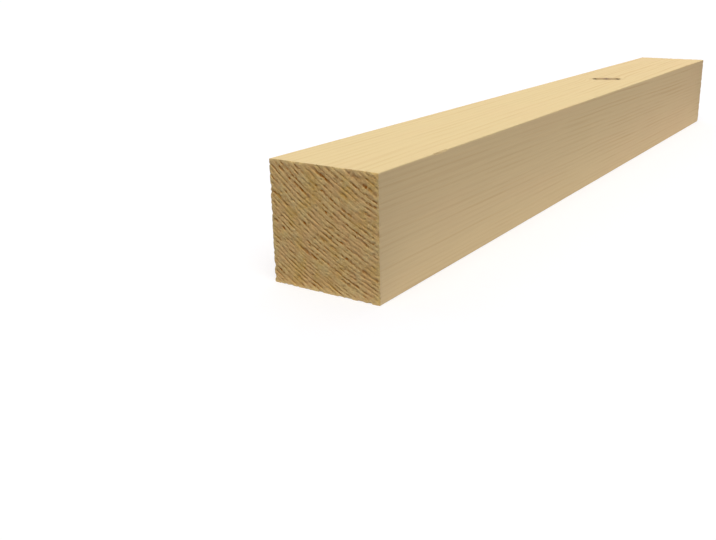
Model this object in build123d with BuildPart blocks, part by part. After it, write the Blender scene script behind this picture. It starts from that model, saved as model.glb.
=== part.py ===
"""Squared softwood timber: one sawn length with eased arrises, a torn arris and a dead knot.

The front end faces -X, the right side as seen from there faces -Y, and the piece lies on Z = 0.
"""
import os

from build123d import *

# Driving dimensions, in millimetres

# The sawn piece
timber_length = 570.0
timber_width = 60.0
timber_height = 60.0

# Edges: the long arrises are lightly eased, the cross-cut edges are only broken
arris_radius = 0.5
end_break = 0.25

# Splinter torn from the top right arris: it broke in steeply, ran on shallower and snapped off square
splinter_from_front = 45.0
splinter_length = 14.5
splinter_depth = 0.65
splinter_deepest_share = 0.2
splinter_end_share = 0.7

# Dead knot in the top face: an oval that has shrunk away from the wood all round, most at its two tips
knot_from_front = 372.0
knot_from_left = 30.6
knot_length = 22.4
knot_width = 14.0
knot_bearing = 119.3  # degrees of its long way round from +X
knot_tip_gap = 3.0
knot_side_gap = 0.6
knot_gap_depth = 1.5

# How far the cuts run past the wood
cut_overrun = 2.0

front_end = -timber_length / 2
right_side = -timber_width / 2
left_side = timber_width / 2

with BuildPart() as timber:
    # Eased square section, drawn on the front end and run the length of the piece
    with BuildSketch(Plane.YZ.offset(front_end)) as section:
        with Locations((0, timber_height / 2)):
            Rectangle(timber_width, timber_height)
        fillet(section.vertices(), radius=arris_radius)
    extrude(amount=timber_length)

    # Broken edges round both cross-cut ends
    chamfer(timber.faces().filter_by(Axis.X).edges(), length=end_break)

    # Torn arris, drawn on the plane that halves the arris and points out of it
    arris = Plane(
        origin=(front_end + splinter_from_front, right_side, timber_height),
        x_dir=(1, 0, 0),
        z_dir=(0, -1, -1),
    )
    with BuildSketch(arris) as splinter:
        with BuildLine():
            Polyline(
                (0, 0),
                (splinter_length * splinter_deepest_share, -splinter_depth),
                (splinter_length, -splinter_depth * splinter_end_share),
                (splinter_length, cut_overrun),
                (0, cut_overrun),
                close=True,
            )
        make_face()
    extrude(amount=splinter_depth + cut_overrun, both=True, mode=Mode.SUBTRACT)

    # Gap round the knot: the oval hole in the wood less the smaller oval of the shrunk knot
    with BuildSketch(Plane.XY.offset(timber_height)) as knot_gap:
        knot_centre = (front_end + knot_from_front, left_side - knot_from_left)
        with Locations(Location(knot_centre, knot_bearing)):
            Ellipse(knot_length / 2, knot_width / 2)
            Ellipse(knot_length / 2 - knot_tip_gap, knot_width / 2 - knot_side_gap, mode=Mode.SUBTRACT)
    extrude(amount=-knot_gap_depth, mode=Mode.SUBTRACT)

timber.part.label = "timber"

os.makedirs("parts", exist_ok=True)
export_step(timber.part, "parts/timber.step")
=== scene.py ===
"""Looks of a squared softwood timber: planed long faces, rough sawn ends, a torn arris and a dead knot."""

from math import radians

import bmesh
import bpy
import numpy as np
from mathutils import Matrix, Vector, noise


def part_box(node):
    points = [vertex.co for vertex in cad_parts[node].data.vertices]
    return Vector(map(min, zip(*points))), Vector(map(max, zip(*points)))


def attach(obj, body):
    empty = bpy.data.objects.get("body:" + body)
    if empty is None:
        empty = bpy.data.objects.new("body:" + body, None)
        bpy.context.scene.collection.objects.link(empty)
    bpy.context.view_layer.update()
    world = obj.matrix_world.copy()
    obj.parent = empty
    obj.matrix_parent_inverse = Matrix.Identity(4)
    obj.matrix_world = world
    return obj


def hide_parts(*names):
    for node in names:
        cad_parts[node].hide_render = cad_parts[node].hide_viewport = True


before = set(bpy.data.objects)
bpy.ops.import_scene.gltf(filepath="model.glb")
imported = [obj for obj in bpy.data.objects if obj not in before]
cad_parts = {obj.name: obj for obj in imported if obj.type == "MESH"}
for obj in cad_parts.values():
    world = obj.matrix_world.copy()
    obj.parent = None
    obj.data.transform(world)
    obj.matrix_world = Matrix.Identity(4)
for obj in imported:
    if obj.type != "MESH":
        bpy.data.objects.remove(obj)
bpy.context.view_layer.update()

# The sawn piece, in metres: the front end faces -X and the right side faces -Y
low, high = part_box("timber")
length, width, height = high - low
middle = (low + high) / 2

# Mesh cells: wide ones along the faces, fine ones on the sawn ends and at the knot and the splinter
face_cells = 20
half_length_rows = 70
end_cuts = 7
knot_cuts = 11
knot_cells_share = 1.2
splinter_cuts = 7
splinter_cells_share = 4.0
fine_cell = height / face_cells / (end_cuts + 1)
end_rows = (0.0002, 0.0005, 0.001, 0.0017, 0.0026)
arris_columns = (fine_cell / 2, fine_cell, 2 * fine_cell, 3 * fine_cell)
smooth_angle = radians(55)

# Edges
arris_radius = 0.0005
arris_wear = 0.00012
arris_wear_pitch = (0.012, 0.05, 0.05)

# The tree: where its pith ran beside the piece, how it leant, and how wide its rings grew
pith_y = -0.112
pith_z = 0.214
pith_lean_y = 0.004
pith_lean_z = -0.012
ring_start = 0.165
ring_width_inner = 0.003
ring_narrowing = 0.0118
ring_round_radius = 0.21
ring_mean_width = 0.0025
ring_waver = 0.2
ring_waver_pitch = (0.06, 0.018, 0.018)
ring_wobble = 0.1
ring_wobble_pitch = (0.16, 0.0045, 0.0045)
ring_unevenness = 0.5
ring_unevenness_pace = 0.77
ring_unevenness_row = (0.3, 0.7)

# Dark late wood, as shares of one year's growth
late_start_share = 0.46
late_full_share = 0.7
late_stop_share = 0.9

# Saw tear on the ends: how deep it goes, how the edges break away, and how far in that reaches
groove_depth = 0.00011
tear_depth = 0.0003
pit_depth = 0.0005
fuzz_depth = 0.0002
fringe_height = 0.00012
rim_tear = 0.0005
rim_chip = 0.0003
rim_round = 0.00018
rim_reach = 0.0024

# Size of one bump of the tear, along a ring, across the rings and from end to end
dash_pitch = (0.0018, 0.0024, 0.1)
notch_pitch = (0.0009, 0.0012, 0.1)
tear_pitch = (0.0034, 0.0011, 0.1)
crack_pitch = (0.0014, 0.0008, 0.1)
pit_pitch = (0.0018, 0.0012, 0.1)

# Size of one bump of what doesn't follow the rings, along X, Y and Z
patch_pitch = (0.1, 0.006, 0.006)
fuzz_pitch = (0.1, 0.0009, 0.0009)
chip_pitch = (0.1, 0.0026, 0.0026)

# Marks of the saw: how much finer noise goes into each, and between which levels of noise it sets in
fine_chip_share = 0.6
chip_rise = (0.0, 0.6)
notch_share = 0.6
dash_rise = (-0.45, 0.3)
crack_share = 0.7
tear_rise = (0.02, 0.36)
pit_rise = (0.45, 0.66)
patch_notch_share = 0.35
patch_rise = (0.15, 0.55)
pale_rim_rise = (-0.4, 0.2)

# Marks of the saw: the least that stays of a dash and of a tear, what pale fibres fill, and where it calms
dash_least_share = 0.5
tear_early_share = 0.4
pale_cover_share = 0.55
calm_rise = (0.5, 0.85)
rim_calm_share = 0.8

# Splinter torn from the top right arris
splinter_from_front = 0.045
splinter_length = 0.0145
splinter_depth = 0.00065
splinter_deepest_share = 0.2
splinter_end_share = 0.7
splinter_snap_share = 1.001
splinter_fibre = 0.00034
splinter_fibre_pitch = (0.0042, 0.0006, 0.0006)
splinter_skin = 0.00015

# Dead knot in the top face, where a branch that leant towards the front end is cut aslant
knot_from_front = 0.372
knot_from_left = 0.0306
knot_half_long = 0.0112
knot_half_wide = 0.007
knot_bearing = radians(119.3)
knot_tip_gap = 0.003
knot_side_gap = 0.0006
knot_gap_depth = 0.0015
knot_gap_slope = 0.0002
knot_ragged = 0.00035
knot_ragged_pitch = (0.0019, 0.0019, 0.1)
knot_heart_long = 0.0021
knot_heart_wide = 0.0042
knot_heart_share = 0.8
knot_cracks = (
    {"bearing": radians(82), "reach": 0.0056, "half_wide": 0.00062},
    {"bearing": radians(24), "reach": 0.0036, "half_wide": 0.0004},
    {"bearing": radians(147), "reach": 0.0042, "half_wide": 0.0004},
)
knot_crack_tip_share = 0.02
knot_lean = 0.41
knot_swerve = 0.55
knot_depth = 0.03
knot_far = 4.0
knot_centre = Vector((low.x + knot_from_front, high.y - knot_from_left, high.z))

# Least values that keep sums near a middle or a tip from dividing by nothing
tip_least_share = 1e-6
oval_least_share = 0.1
oval_least_slope = 0.5

# Picture layout of the six faces on the map, as shares of its side
map_edge_share = 0.01
map_strip_share = 0.165
map_end_wide_share = 0.48
map_end_tall_share = 0.28

# Noises by name: a name's place in the list keeps its noise apart from the others
noise_names = (
    "ring waver", "arris wear", "chip", "dash", "notch", "pit", "patch", "patch notch", "pale rim",
    "fuzz", "splinter fibre", "tear", "crack", "ring wobble", "knot hole", "knot rim", "knot crack",
    "fine chip",
)
noise_step = (7.31, 3.17, 5.77)


def noise_at(points, pitch, name):
    """Smooth noise from about -1 to 1 at each point, with one bump to each pitch."""
    shift = (noise_names.index(name) + 1) * np.array(noise_step)
    return np.array([noise.noise(place) for place in points / np.array(pitch) + shift])


def smooth_step(start, end, values):
    """0 before start, 1 after end, and a smooth rise between them."""
    share = np.clip((values - start) / (end - start), 0, 1)
    return share * share * (3 - 2 * share)


def pick(piece, kind, wanted):
    """Selects, in edit mode, only the edges or faces that are wanted."""
    bpy.ops.mesh.select_all(action="DESELECT")
    bpy.ops.mesh.select_mode(type="EDGE" if kind == "edges" else "FACE")
    shape = bmesh.from_edit_mesh(piece.data)
    for element in getattr(shape, kind):
        if wanted(element):
            element.select_set(True)
    bmesh.update_edit_mesh(piece.data)


def cut(place, direction):
    """Cuts every face with one plane."""
    bpy.ops.mesh.select_all(action="SELECT")
    bpy.ops.mesh.bisect(plane_co=place, plane_no=direction)


def end_distance(x):
    """How far a place along the piece lies from the nearer end."""
    return length / 2 - abs(x - middle.x)


def runs_across(edge):
    return abs(edge.verts[0].co.x - edge.verts[1].co.x) < fine_cell / 2


def runs_along(edge):
    return not runs_across(edge)


def by_end(edge):
    row = length / half_length_rows / 2
    return runs_across(edge) and end_distance(edge.verts[0].co.x) < row + fine_cell / 2


def by_knot(face):
    return (face.calc_center_median() - knot_centre).length < knot_half_long * knot_cells_share


def by_splinter(face):
    place = face.calc_center_median()
    along = place.x - low.x - splinter_from_front
    near = max(place.y - low.y, high.z - place.z) < splinter_cells_share * splinter_depth
    return near and -splinter_depth < along < splinter_length + splinter_depth


def saw_blank():
    """A cube at the timber's size and place, cut into cells that are fine where the wood is torn."""
    bpy.ops.object.select_all(action="DESELECT")
    bpy.ops.mesh.primitive_cube_add(size=1, location=middle, scale=(length, width, height))
    bpy.ops.object.transform_apply(location=True, rotation=True, scale=True)
    piece = bpy.context.object
    piece.name = "squared_timber"
    bpy.ops.object.mode_set(mode="EDIT")
    pick(piece, "edges", runs_across)
    bpy.ops.mesh.subdivide(number_cuts=face_cells - 1)
    pick(piece, "edges", runs_along)
    bpy.ops.mesh.subdivide(number_cuts=half_length_rows - 1)
    pick(piece, "edges", runs_along)
    bpy.ops.mesh.subdivide(number_cuts=1)
    pick(piece, "edges", by_end)
    bpy.ops.mesh.subdivide(number_cuts=end_cuts)
    for depth in end_rows:
        for end in (low.x + depth, high.x - depth):
            cut((end, 0, 0), (1, 0, 0))
    for inset in arris_columns:
        for side in (low.y + inset, high.y - inset):
            cut((0, side, 0), (0, 1, 0))
        for level in (low.z + inset, high.z - inset):
            cut((0, 0, level), (0, 0, 1))
    pick(piece, "faces", by_knot)
    bpy.ops.mesh.subdivide(number_cuts=knot_cuts)
    pick(piece, "faces", by_splinter)
    bpy.ops.mesh.subdivide(number_cuts=splinter_cuts)
    bpy.ops.object.mode_set(mode="OBJECT")
    return piece


def read_points(piece):
    points = np.empty(len(piece.data.vertices) * 3)
    piece.data.vertices.foreach_get("co", points)
    return points.reshape(-1, 3)


def write_points(piece, points):
    piece.data.vertices.foreach_set("co", points.ravel())
    piece.data.update()


def write_grain(piece, name, values):
    """Stores one number at each point of the mesh, for the material to read."""
    layer = piece.data.attributes.new(name, "FLOAT", "POINT")
    layer.data.foreach_set("value", np.asarray(values, dtype=np.float32))


def by_knot_axis(points):
    """Each point's place the long way and the wide way of the knot, whose branch grew from the pith."""
    depth = knot_centre.z - points[:, 2]
    outwards = (knot_centre.y - pith_y) / (pith_z - knot_centre.z)
    x = points[:, 0] - knot_centre.x + knot_lean * depth
    y = points[:, 1] - knot_centre.y - outwards * depth
    along = x * np.cos(knot_bearing) + y * np.sin(knot_bearing)
    across = y * np.cos(knot_bearing) - x * np.sin(knot_bearing)
    return along, across


def knot_share(points):
    """Distance from the knot's axis in knot radii: the branch narrows with depth and ends in the wood."""
    along, across = by_knot_axis(points)
    narrowing = np.clip(1 - (knot_centre.z - points[:, 2]) / knot_depth, tip_least_share, 1)
    return np.minimum(np.hypot(along / knot_half_long, across / knot_half_wide) / narrowing, knot_far)


def inside_oval(along, across, half_long, half_wide):
    """About how far inside an oval each place lies."""
    share = np.hypot(along / half_long, across / half_wide)
    slope = np.hypot(along / half_long ** 2, across / half_wide ** 2)
    slope = slope / np.maximum(share, oval_least_share)
    return (1 - share) / np.maximum(slope, oval_least_slope / half_long)


def on_top(points):
    return points[:, 2] > high.z - arris_radius / 2


def knot_gap(points):
    """1 in the gap that the shrunk knot has left round itself, and 0 off it."""
    along, across = by_knot_axis(points)
    hole = inside_oval(along, across, knot_half_long, knot_half_wide)
    knot = inside_oval(along, across, knot_half_long - knot_tip_gap, knot_half_wide - knot_side_gap)
    hole += knot_ragged * noise_at(points, knot_ragged_pitch, "knot hole")
    knot += knot_ragged * noise_at(points, knot_ragged_pitch, "knot rim")
    return smooth_step(0, knot_gap_slope, np.minimum(hole, -knot)) * on_top(points)


def knot_check(points):
    """1 along the cracks that run out from the knot's dark heart, fading to 0 round them."""
    along, across = by_knot_axis(points)
    dark = knot_heart_share * np.exp(-(along / knot_heart_long) ** 2 - (across / knot_heart_wide) ** 2)
    sway = knot_ragged * noise_at(points, knot_ragged_pitch, "knot crack")
    for crack in knot_cracks:
        cosine = np.cos(crack["bearing"])
        sine = np.sin(crack["bearing"])
        run = np.abs(along * cosine + across * sine) / crack["reach"]
        off = across * cosine - along * sine + sway
        taper = np.clip(1 - run, knot_crack_tip_share, 1) * crack["half_wide"]
        dark = np.maximum(dark, np.exp(-(off / taper) ** 2) * (run < 1))
    return dark * on_top(points)


def from_pith(points):
    """Each point's place beside the pith, with the grain swerving round the knot."""
    swerve = knot_swerve / np.maximum(knot_share(points), 1) ** 2
    keep = 1 - swerve * smooth_step(knot_depth, 0, high.z - points[:, 2])
    y = knot_centre.y + (points[:, 1] - knot_centre.y) * keep - pith_y - pith_lean_y * points[:, 0]
    z = points[:, 2] - pith_z - pith_lean_z * points[:, 0]
    return y, z


def ring_luck(year):
    """How far good and bad years have moved a ring, from about -1 to 1."""
    return noise.noise((ring_unevenness_pace * year, *ring_unevenness_row))


def growth_years(points):
    """The year each point grew in, counted outwards from the pith."""
    outwards = np.hypot(*from_pith(points)) - ring_start
    years = -np.log(1 - ring_narrowing * outwards / ring_width_inner) / ring_narrowing
    years += ring_unevenness * np.array([ring_luck(year) for year in years])
    years += ring_waver * noise_at(points, ring_waver_pitch, "ring waver")
    return years + ring_wobble * noise_at(points, ring_wobble_pitch, "ring wobble")


def along_rings(points, years):
    """Each point's place along its ring, across the rings and from end to end, in metres."""
    y, z = from_pith(points)
    around = np.arctan2(y, -z) * ring_round_radius
    return np.stack((around, years * ring_mean_width, points[:, 0]), axis=1)


def late_wood(years):
    """How much of each year's hard, dark late wood is at a point."""
    share = years - np.floor(years)
    rise = smooth_step(late_start_share, late_full_share, share)
    return rise * (1 - smooth_step(late_stop_share, 1, share))


def ease_arrises(points):
    """Rounds the four long arrises, a little more where they are worn."""
    wear = arris_wear * np.clip(noise_at(points, arris_wear_pitch, "arris wear"), 0, 1)
    across = np.abs(points[:, 1] - middle.y) - (width / 2 - arris_radius)
    up = np.abs(points[:, 2] - middle.z) - (height / 2 - arris_radius)
    corner = (across > 0) & (up > 0)
    reach = np.maximum(across, up)
    flat = np.where(up >= across, across, up) / np.where(corner, reach, 1)
    turn = np.where(up >= across, flat, 2 - flat) * np.pi / 4
    round_reach = reach - wear * np.sin(2 * turn)
    sides = np.sign(points[:, 1:] - np.array(middle)[1:])
    eased_y = middle.y + sides[:, 0] * (width / 2 - arris_radius + round_reach * np.sin(turn))
    eased_z = middle.z + sides[:, 1] * (height / 2 - arris_radius + round_reach * np.cos(turn))
    eased = points.copy()
    eased[:, 1] = np.where(corner, eased_y, points[:, 1])
    eased[:, 2] = np.where(corner, eased_z, points[:, 2])
    return eased


def saw_marks(torn, years, rim):
    """Marks of the saw, from 0 to 1: dashes along the rings, tears, pits and pale fibres laid over."""
    rings = along_rings(torn, years)
    calm = 1 - rim_calm_share * smooth_step(*calm_rise, rim)
    dash = noise_at(rings, dash_pitch, "dash") + notch_share * noise_at(rings, notch_pitch, "notch")
    dash = dash_least_share + (1 - dash_least_share) * smooth_step(*dash_rise, dash)
    tear = noise_at(rings, tear_pitch, "tear") + crack_share * noise_at(rings, crack_pitch, "crack")
    tear = smooth_step(*tear_rise, tear) * (tear_early_share + (1 - tear_early_share) * late_wood(years))
    pits = smooth_step(*pit_rise, noise_at(rings, pit_pitch, "pit"))
    patch = noise_at(torn, patch_pitch, "patch")
    patch += patch_notch_share * noise_at(rings, notch_pitch, "patch notch")
    pale_rim = rim * smooth_step(*pale_rim_rise, noise_at(torn, chip_pitch, "pale rim"))
    pale = np.maximum(smooth_step(*patch_rise, patch), pale_rim)
    return {"dash": calm * dash, "tear": calm * tear, "pits": pits, "pale": pale}


def tear_ends(piece, points, years):
    """Roughens both ends by the marks of the saw, and breaks their edges away."""
    near = end_distance(points[:, 0]) < rim_reach
    torn = points[near]
    edge = np.minimum(width / 2 - np.abs(torn[:, 1]), height / 2 - np.abs(torn[:, 2] - middle.z))
    rim = np.clip(1 - edge / rim_reach, 0, 1)
    chip = noise_at(torn, chip_pitch, "chip") + fine_chip_share * noise_at(torn, fuzz_pitch, "fine chip")
    chip = smooth_step(*chip_rise, chip)
    marks = saw_marks(torn, years[near], rim)
    cover = 1 - pale_cover_share * marks["pale"]
    fuzz = (1 + noise_at(torn, fuzz_pitch, "fuzz")) / 2
    grooves = groove_depth * late_wood(years[near]) * marks["dash"] + tear_depth * marks["tear"]
    relief = cover * grooves + pit_depth * marks["pits"] + fuzz_depth * fuzz
    relief += rim_round * rim ** 3 + rim_tear * rim ** 2 * chip - fringe_height * marks["pale"]
    hold = 1 - smooth_step(0, rim_reach, end_distance(torn[:, 0]))
    inward = rim_chip * chip * hold ** 2
    beside = np.abs(torn[:, 1]) > width / 2 - fine_cell / 4
    above = np.abs(torn[:, 2] - middle.z) > height / 2 - fine_cell / 4
    points[near, 0] -= np.sign(torn[:, 0] - middle.x) * relief * hold
    points[near, 1] -= np.sign(torn[:, 1]) * inward * beside
    points[near, 2] -= np.sign(torn[:, 2] - middle.z) * inward * above
    for name, values in marks.items():
        layer = np.zeros(len(points))
        layer[near] = values
        write_grain(piece, name, layer)
    return points


def tear_splinter(piece, points):
    """Lifts out the splinter: it broke in steeply, ran on shallower and snapped off square."""
    along = (points[:, 0] - low.x - splinter_from_front) / splinter_length
    shares = (0, splinter_deepest_share, 1, splinter_snap_share)
    profile = np.interp(along, shares, (0, 1, splinter_end_share, 0))
    fibre = splinter_fibre * noise_at(points, splinter_fibre_pitch, "splinter fibre")
    below = ((points[:, 1] - low.y) + (high.z - points[:, 2])) / np.sqrt(2)
    lift = np.clip(profile * (splinter_depth + fibre) - below, 0, None) / np.sqrt(2)
    points[:, 1] += lift
    points[:, 2] -= lift
    # The torn face is stored for the material, which darkens it partly as torn fibres and partly as
    # painted shade
    write_grain(piece, "splinter", smooth_step(0, splinter_skin, lift))
    return points


def lay_out_faces(piece):
    """Lays the six faces side by side on one flat map: four strips with the two ends above them."""
    layer = piece.data.uv_layers.new(name="OFBake")
    strips = {(0, 0, 1): 0, (0, -1, 0): 1, (0, 0, -1): 2, (0, 1, 0): 3}
    shares = (read_points(piece) - np.array(low)) / np.array((length, width, height))
    spots = np.empty((len(piece.data.loops), 2))
    for face in piece.data.polygons:
        way = tuple(round(v) for v in face.normal)
        loops = list(face.loop_indices)
        corners = shares[[piece.data.loops[i].vertex_index for i in loops]]
        if way in strips:
            across = corners[:, 1] if way[2] else corners[:, 2]
            up = map_edge_share + strips[way] * (map_strip_share + map_edge_share)
            spots[loops, 0] = map_edge_share + corners[:, 0] * (1 - 2 * map_edge_share)
            spots[loops, 1] = up + across * map_strip_share
        else:
            start = map_edge_share if way[0] < 0 else 1 - map_edge_share - map_end_wide_share
            up = 1 - map_edge_share - map_end_tall_share
            spots[loops, 0] = start + corners[:, 1] * map_end_wide_share
            spots[loops, 1] = up + corners[:, 2] * map_end_tall_share
    layer.data.foreach_set("uv", spots.ravel())


def make_timber():
    piece = saw_blank()
    lay_out_faces(piece)
    points = read_points(piece)
    years = growth_years(points)
    gap = knot_gap(points)
    write_grain(piece, "growth", years)
    write_grain(piece, "around", along_rings(points, years)[:, 0])
    write_grain(piece, "end_grain", 1 - smooth_step(0, end_rows[1], end_distance(points[:, 0])))
    write_grain(piece, "knot", knot_share(points))
    write_grain(piece, "knot_gap", gap)
    write_grain(piece, "knot_check", knot_check(points))
    points = tear_ends(piece, points, years)
    points = ease_arrises(points)
    points = tear_splinter(piece, points)
    points[:, 2] -= knot_gap_depth * gap
    write_points(piece, points)
    bpy.ops.object.shade_smooth_by_angle(angle=smooth_angle)
    return piece


class Tone:
    """One output of a material's nodes, used in sums like a number: each operator adds a Math node."""

    def __init__(self, tree, socket=None):
        self.tree = tree
        self.socket = socket

    def node(self, kind, settings=None, inputs=None, output=0):
        """Adds a node, its settings first, then its inputs as values or links, and wraps one output."""
        made = self.tree.nodes.new(kind)
        for name, setting in (settings or {}).items():
            setattr(made, name, setting)
        for name, value in (inputs or {}).items():
            if isinstance(value, Tone):
                self.tree.links.new(value.socket, made.inputs[name])
            else:
                made.inputs[name].default_value = value
        return Tone(self.tree, made.outputs[output])

    def math(self, operation, *values):
        return self.node("ShaderNodeMath", {"operation": operation}, dict(enumerate(values)))

    def __add__(self, other):
        return self.math("ADD", self, other)

    __radd__ = __add__

    def __sub__(self, other):
        return self.math("SUBTRACT", self, other)

    def __rsub__(self, other):
        return self.math("SUBTRACT", other, self)

    def __mul__(self, other):
        return self.math("MULTIPLY", self, other)

    __rmul__ = __mul__

    def __pow__(self, other):
        return self.math("POWER", self, other)

    def stored(self, name):
        """A number stored at the points of the mesh."""
        return self.node("ShaderNodeAttribute", {"attribute_name": name}, output="Fac")

    def rise(self, start, end):
        """0 before start, 1 after end, and a smooth rise between them."""
        settings = {"interpolation_type": "SMOOTHSTEP"}
        inputs = {"Value": self, "From Min": start, "From Max": end}
        return self.node("ShaderNodeMapRange", settings, inputs)

    def between(self, start, end):
        """The start where this is 0, the end where it is 1, and straight on between them."""
        return start + (end - start) * self

    def grain(self, pitch, detail=2.0, roughness=0.5):
        """Noise at this place, from about 0 to 1, with one bump to each pitch."""
        stretched = self.node("ShaderNodeVectorMath", {"operation": "DIVIDE"}, {0: self, 1: pitch})
        inputs = {"Vector": stretched, "Scale": 1.0, "Detail": detail, "Roughness": roughness}
        return self.node("ShaderNodeTexNoise", None, inputs)

    def blend(self, first, second):
        """The first colour where this is 0 and the second where it is 1."""
        inputs = {0: self, 6: first, 7: second}
        return self.node("ShaderNodeMix", {"data_type": "RGBA"}, inputs, output=2)

    def shaded(self, strength):
        """This colour made lighter or darker by a number."""
        both = self.node("ShaderNodeCombineXYZ", None, {0: strength, 1: strength, 2: strength})
        return self.node("ShaderNodeVectorMath", {"operation": "MULTIPLY"}, {0: self, 1: both})


def colour(red, green, blue):
    return (red, green, blue, 1.0)


# Colours of the wood, as light they send back
early_planed = colour(0.775, 0.61, 0.305)
late_planed = colour(0.66, 0.465, 0.20)
warm_planed = colour(0.785, 0.58, 0.295)
# The splinter's torn face: browner torn fibres, darkened further as painted shade in its notch
torn_and_shaded_planed = colour(0.56, 0.405, 0.195)
early_sawn = colour(0.766, 0.56, 0.224)
# Late wood on the ends; the tears also darken towards it, partly as painted shade
late_sawn = colour(0.335, 0.115, 0.006)
gold_sawn = colour(0.65, 0.42, 0.1)
rose_sawn = colour(0.72, 0.46, 0.19)
pale_sawn = colour(0.735, 0.595, 0.27)
# Pits: dark torn wood, darkened further as painted shade in the hollows
pit_shade_sawn = colour(0.24, 0.12, 0.025)
knot_light = colour(0.52, 0.36, 0.165)
knot_dark = colour(0.40, 0.26, 0.11)
# Near black in the knot's gap, heart and cracks: partly bark, partly painted shade
knot_bark_and_shade = colour(0.075, 0.043, 0.02)

# Grain of the material: the size of one bump in metres, and how fine its detail goes
fibre_grain = {"pitch": (0.045, 0.0007, 0.0007), "detail": 3.0}
hair_grain = {"pitch": (0.014, 0.0002, 0.0002)}
cloud_grain = {"pitch": (0.14, 0.031, 0.031)}
fade_grain = {"pitch": (0.07, 0.006, 0.006), "detail": 3.0}
canal_grain = {"pitch": (0.009, 0.0004, 0.0004), "detail": 1.0}
streak_grain = {"pitch": (0.0034, 0.0009, 0.1), "detail": 4.0, "roughness": 0.65}
fuzz_grain = {"pitch": fuzz_pitch, "detail": 4.0, "roughness": 0.6}
crumb_grain = {"pitch": (0.1, 0.0004, 0.0004)}
bead_grain = {"pitch": (0.1, 0.0011, 0.0011)}
gold_grain = {"pitch": (0.1, 0.011, 0.011), "detail": 3.0}
rose_grain = {"pitch": (0.1, 0.007, 0.008), "detail": 3.0}
knot_ring_grain = {"pitch": (0.0035, 0.003, 0.1), "detail": 3.0}
knot_mottle_grain = {"pitch": (0.0035, 0.003, 0.1), "detail": 4.0, "roughness": 0.7}

# Long faces: where things set in, how strong they are, and how light the wood is
fade_rise = (0.32, 0.68)
canal_rise = (0.68, 0.78)
cloud_rise = (0.45, 0.75)
back_stretch = (-0.08, 0.22)
planed_vigour_shares = (0.1, 0.4)
planed_fade_shares = (0.2, 1.3)
planed_back_shares = (0.95, 2.45)
cloud_share = 0.35
back_sheen_offset_share = 0.35
canal_share = 0.26
splinter_fibre_shares = (0.4, 1.0)
planed_light = 0.885
planed_fibre_light = 0.12
planed_hair_light = 0.11

# Ends, in the same way
bead_rise = (0.3, 0.66)
gold_rise = (0.44, 0.66)
rose_rise = (0.4, 0.66)
sawn_vigour_shares = (0.4, 0.7)
sawn_bead_shares = (0.6, 1.35)
sawn_tear_shade_shares = (0.2, 0.7)
sawn_streak_shares = (0.55, 1.6)
gold_share = 0.55
rose_share = 0.55
pale_crumb_shares = (0.1, 0.8)
pit_shade_share = 0.4
sawn_light = 0.43
sawn_crumb_light = 0.42
sawn_streak_light = 0.7

# Knot: its rings, mottle, stain, rim and gap, with reaches in knot radii
knot_ring_turn = 34.0
knot_ring_waver = 16.0
knot_ring_share = 0.35
knot_mottle_share = 0.65
knot_brown_share = 0.2
knot_stain_reach = (1.0, 1.5)
knot_stain_share = 0.3
knot_rim_reach = (0.95, 1.0)
knot_gap_rise = (0.0, 0.25)
knot_gap_share = 0.95
knot_check_share = 0.95

# Fine relief in metres, and gloss
fibre_relief = 0.00004
ring_relief = 0.00001
fuzz_relief = 0.00015
streak_relief = 0.00015
band_relief = 0.00006
planed_roughness = 0.68
fibre_roughness = 0.12
sawn_roughness = 0.15
wood_specular = 0.2


def planed_wood(place, late, vigour, fibre):
    """The long faces: ring lines that come and go, stronger towards the back end, and fibres; the back end
    is also painted warmer to offset the pale sheen it shows at a grazing view.
    """
    hair = place.grain(**hair_grain)
    fade = place.grain(**fade_grain).rise(*fade_rise)
    canal = place.grain(**canal_grain).rise(*canal_rise)
    cloud = place.grain(**cloud_grain).rise(*cloud_rise)
    back = place.node("ShaderNodeSeparateXYZ", None, {0: place}).rise(*back_stretch)
    splinter = place.stored("splinter") * fibre.between(*splinter_fibre_shares)
    lines = late * vigour.between(*planed_vigour_shares)
    lines = lines * fade.between(*planed_fade_shares) * back.between(*planed_back_shares)
    wood = lines.blend(early_planed, late_planed)
    # The cloud is the wood's own tone; the warmth towards the back end is painted against the pale sheen
    # seen there at a grazing view
    wood = (cloud * cloud_share + back * back_sheen_offset_share).blend(wood, warm_planed)
    wood = (canal * canal_share).blend(wood, late_planed)
    # The splinter's torn face: partly torn fibre colour, partly painted shade
    wood = splinter.blend(wood, torn_and_shaded_planed)
    return wood.shaded(planed_light + planed_fibre_light * fibre + planed_hair_light * hair)


def sawn_bands(place, late, vigour, crumb):
    """How dark the ends are: late wood in broken, beaded lines, and tears, whose darkness is partly
    painted shade in the torn grooves.
    """
    bead = place.grain(**bead_grain).rise(*bead_rise)
    lines = late * place.stored("dash") * vigour.between(*sawn_vigour_shares)
    # Tears darken towards the late wood colour, partly as torn fibres and partly as painted shade in their
    # grooves
    tear = place.stored("tear") * crumb.between(*sawn_tear_shade_shares)
    return lines * bead.between(*sawn_bead_shares) + tear


def sawn_wood(place, bands, streak, crumb):
    """The ends: dark bands in streaks, gold and rose patches, pale fibres laid over, and pits, darkened
    partly as torn wood and partly as painted shade.
    """
    gold = place.grain(**gold_grain).rise(*gold_rise)
    rose = place.grain(**rose_grain).rise(*rose_rise)
    wood = (bands * streak.between(*sawn_streak_shares)).blend(early_sawn, late_sawn)
    wood = (gold * gold_share).blend(wood, gold_sawn)
    wood = (rose * rose_share).blend(wood, rose_sawn)
    wood = (place.stored("pale") * crumb.between(*pale_crumb_shares)).blend(wood, pale_sawn)
    # Pits darken partly as torn wood and partly as painted shade
    wood = (place.stored("pits") * pit_shade_share).blend(wood, pit_shade_sawn)
    return wood.shaded(sawn_light + sawn_crumb_light * crumb + sawn_streak_light * streak)


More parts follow.
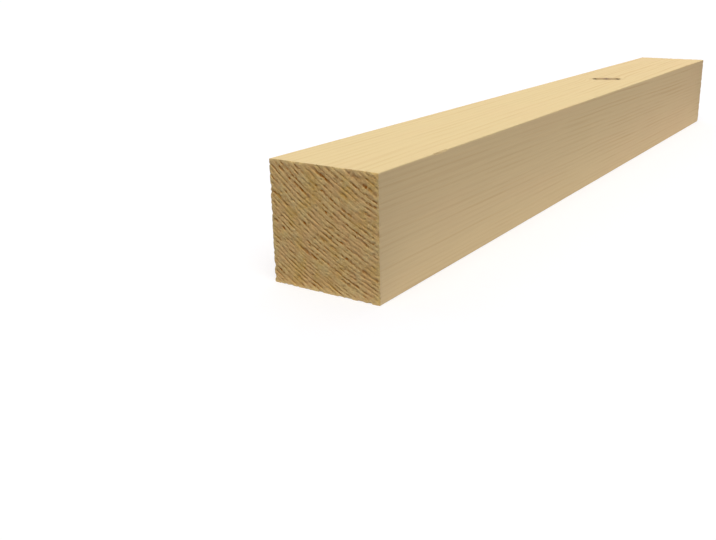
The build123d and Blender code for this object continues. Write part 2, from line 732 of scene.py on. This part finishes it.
def knot_wood(wood, place):
    """The dead knot: brown rings, a cracked dark heart, a dark gap round it and a faint stain beyond. The
    gap, the heart and its cracks are painted near black, partly as bark and partly as painted shade.
    """
    knot = wood.stored("knot")
    turns = knot * knot_ring_turn + knot_ring_waver * place.grain(**knot_ring_grain)
    rings = turns.math("SINE", turns) * knot_ring_share
    rings = rings + knot_mottle_share * place.grain(**knot_mottle_grain) + knot_brown_share
    stain = (1 - knot.rise(*knot_stain_reach)) * knot_stain_share
    heart = 1 - knot.rise(*knot_rim_reach)
    # The gap and the cracks are painted near black: partly bark, partly painted shade
    dark = wood.stored("knot_gap").rise(*knot_gap_rise) * knot_gap_share
    dark = dark + wood.stored("knot_check") * knot_check_share
    wood = stain.blend(wood, knot_light)
    wood = heart.blend(wood, rings.blend(knot_light, knot_dark))
    return dark.blend(wood, knot_bark_and_shade)


def softwood():
    """Spruce: rings read from the mesh, fibres along the length, tear on the ends and a dead knot."""
    material = bpy.data.materials.new("softwood")
    material.use_nodes = True
    tree = material.node_tree
    shader = tree.nodes["Principled BSDF"]
    start = Tone(tree)
    place = start.node("ShaderNodeTexCoord", output="Object")
    sawn = start.stored("end_grain")
    years = start.stored("growth")
    year = years.math("FLOOR", years)
    share = years - year
    late = share.rise(late_start_share, late_full_share) * (1 - share.rise(late_stop_share, 1.0))
    vigour = year.node("ShaderNodeTexWhiteNoise", {"noise_dimensions": "1D"}, {"W": year})
    inputs = {0: start.stored("around"), 1: years * ring_mean_width}
    rings = start.node("ShaderNodeCombineXYZ", None, inputs)
    fibre = place.grain(**fibre_grain)
    fuzz = place.grain(**fuzz_grain)
    crumb = place.grain(**crumb_grain)
    streak = rings.grain(**streak_grain)

    bands = sawn_bands(place, late, vigour, crumb)
    planed = planed_wood(place, late, vigour, fibre)
    ends = sawn_wood(place, bands, streak, crumb)
    wood = knot_wood(sawn.blend(planed, ends), place)
    height_planed = fibre * fibre_relief + late * ring_relief
    height_sawn = fuzz * fuzz_relief + streak * streak_relief - bands * band_relief
    relief = height_planed * (1 - sawn) + height_sawn * sawn
    bump = relief.node("ShaderNodeBump", None, {"Strength": 1.0, "Distance": 1.0, "Height": relief})
    roughness = planed_roughness + fibre_roughness * fibre + sawn_roughness * sawn
    tree.links.new(wood.socket, shader.inputs["Base Color"])
    tree.links.new(bump.socket, shader.inputs["Normal"])
    tree.links.new(roughness.socket, shader.inputs["Roughness"])
    shader.inputs["Specular IOR Level"].default_value = wood_specular
    return material


# Camera: where it stands, which way it looks, and how far its picture sits off the lens's middle
camera_place = (-0.56482, -0.21933, 0.13777)
camera_heading = radians(-57.411)
camera_tilt = radians(16.799)
camera_roll = radians(-0.482)
camera_lens = 41.511
camera_shift_share = (-0.0577, -0.0581)
camera_reach = (0.01, 100.0)

# Studio floor: it lights the timber as a bright sheet beside its long sides, and all of it looks white
floor_size = 30.0
sheet_near = 0.03
sheet_far = 0.14
sheet_end_pull = 30.0
sheet_colour = colour(0.71, 0.69, 0.84)
floor_colour = colour(0.16, 0.145, 0.21)
floor_seen = colour(0.5, 0.5, 0.51)
floor_glow = colour(0.53, 0.53, 0.52)
eye_rays = ("Is Camera Ray", "Is Glossy Ray", "Is Transmission Ray")

# Studio light: a dim even sky, a wide soft sun above the front right corner and a weak one behind
black = colour(0, 0, 0)
white = colour(1, 1, 1)
sky_strength = 0.25
sky_colour = colour(0.98, 0.9, 1.15)
sun_from = Vector((-0.425, -0.318, 0.848))
sun_spread = radians(60)
sun_strength = 2.2
sun_colour = (1.0, 1.0, 0.94)
fill_from = Vector((0.55, 0.6, 0.58))
fill_spread = radians(100)
fill_strength = 0.9
fill_colour = (1.0, 1.0, 1.0)


def set_camera():
    data = bpy.data.cameras.new("camera")
    data.lens = camera_lens
    data.shift_x, data.shift_y = camera_shift_share
    data.clip_start, data.clip_end = camera_reach
    camera = bpy.data.objects.new("camera", data)
    bpy.context.collection.objects.link(camera)
    turn = Matrix.Rotation(camera_heading, 4, "Z") @ Matrix.Rotation(radians(90) - camera_tilt, 4, "X")
    camera.matrix_world = Matrix.Translation(camera_place) @ turn @ Matrix.Rotation(camera_roll, 4, "Z")
    bpy.context.scene.camera = camera


def seen_straight(start):
    """1 where the eye sees a surface, straight or in a reflection, and 0 where it only lights things."""
    camera, glossy, through = [start.node("ShaderNodeLightPath", output=way) for way in eye_rays]
    return start.math("MAXIMUM", start.math("MAXIMUM", camera, glossy), through)


def sheet_distance(start):
    """How far a place on the floor is from the timber's footprint. Off the ends it counts as farther."""
    place = start.node("ShaderNodeTexCoord", output="Object")
    sides = []
    for axis, half, pull in ((0, length / 2, sheet_end_pull), (1, width / 2, 1.0)):
        side = place.node("ShaderNodeSeparateXYZ", None, {0: place}, output=axis)
        sides.append(side.math("MAXIMUM", side.math("ABSOLUTE", side) - half, 0.0) * pull)
    return (sides[0] ** 2.0 + sides[1] ** 2.0) ** 0.5


def pale_floor():
    """A wide floor that bounces soft light and looks white where nothing shades it."""
    bpy.ops.object.select_all(action="DESELECT")
    bpy.ops.mesh.primitive_plane_add(size=floor_size, location=(0, 0, low.z))
    floor = bpy.context.object
    floor.name = "floor"
    bpy.ops.object.transform_apply(location=True, rotation=True, scale=True)
    material = bpy.data.materials.new("pale_floor")
    material.use_nodes = True
    tree = material.node_tree
    shader = tree.nodes["Principled BSDF"]
    shader.inputs["Roughness"].default_value = 1.0
    shader.inputs["Specular IOR Level"].default_value = 0.0
    shader.inputs["Emission Strength"].default_value = 1.0
    start = Tone(tree)
    seen = seen_straight(start)
    tone = sheet_distance(start).rise(sheet_near, sheet_far).blend(sheet_colour, floor_colour)
    tone = seen.blend(tone, floor_seen)
    glow = seen.blend(black, floor_glow)
    tree.links.new(tone.socket, shader.inputs["Base Color"])
    tree.links.new(glow.socket, shader.inputs["Emission Color"])
    floor.data.materials.append(material)


def hang_sun(name, way, spread, strength, tint):
    data = bpy.data.lights.new(name, "SUN")
    data.angle = spread
    data.energy = strength
    data.color = tint
    sun = bpy.data.objects.new(name, data)
    sun.rotation_mode = "QUATERNION"
    sun.rotation_quaternion = way.to_track_quat("Z", "Y")
    bpy.context.collection.objects.link(sun)


def soft_light():
    """The sky, which looks white to the eye and lights the timber dimly, and the two suns."""
    world = bpy.data.worlds.new("sky")
    world.use_nodes = True
    tree = world.node_tree
    sky = tree.nodes["Background"]
    seen = seen_straight(Tone(tree))
    tree.links.new(seen.blend(sky_colour, white).socket, sky.inputs["Color"])
    tree.links.new(seen.between(sky_strength, 1.0).socket, sky.inputs["Strength"])
    bpy.context.scene.world = world
    hang_sun("soft_sun", sun_from, sun_spread, sun_strength, sun_colour)
    hang_sun("fill_sun", fill_from, fill_spread, fill_strength, fill_colour)


timber = make_timber()
timber.data.materials.append(softwood())
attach(timber, "root")
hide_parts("timber")
pale_floor()
soft_light()
set_camera()
bpy.context.scene.view_settings.view_transform = "Standard"
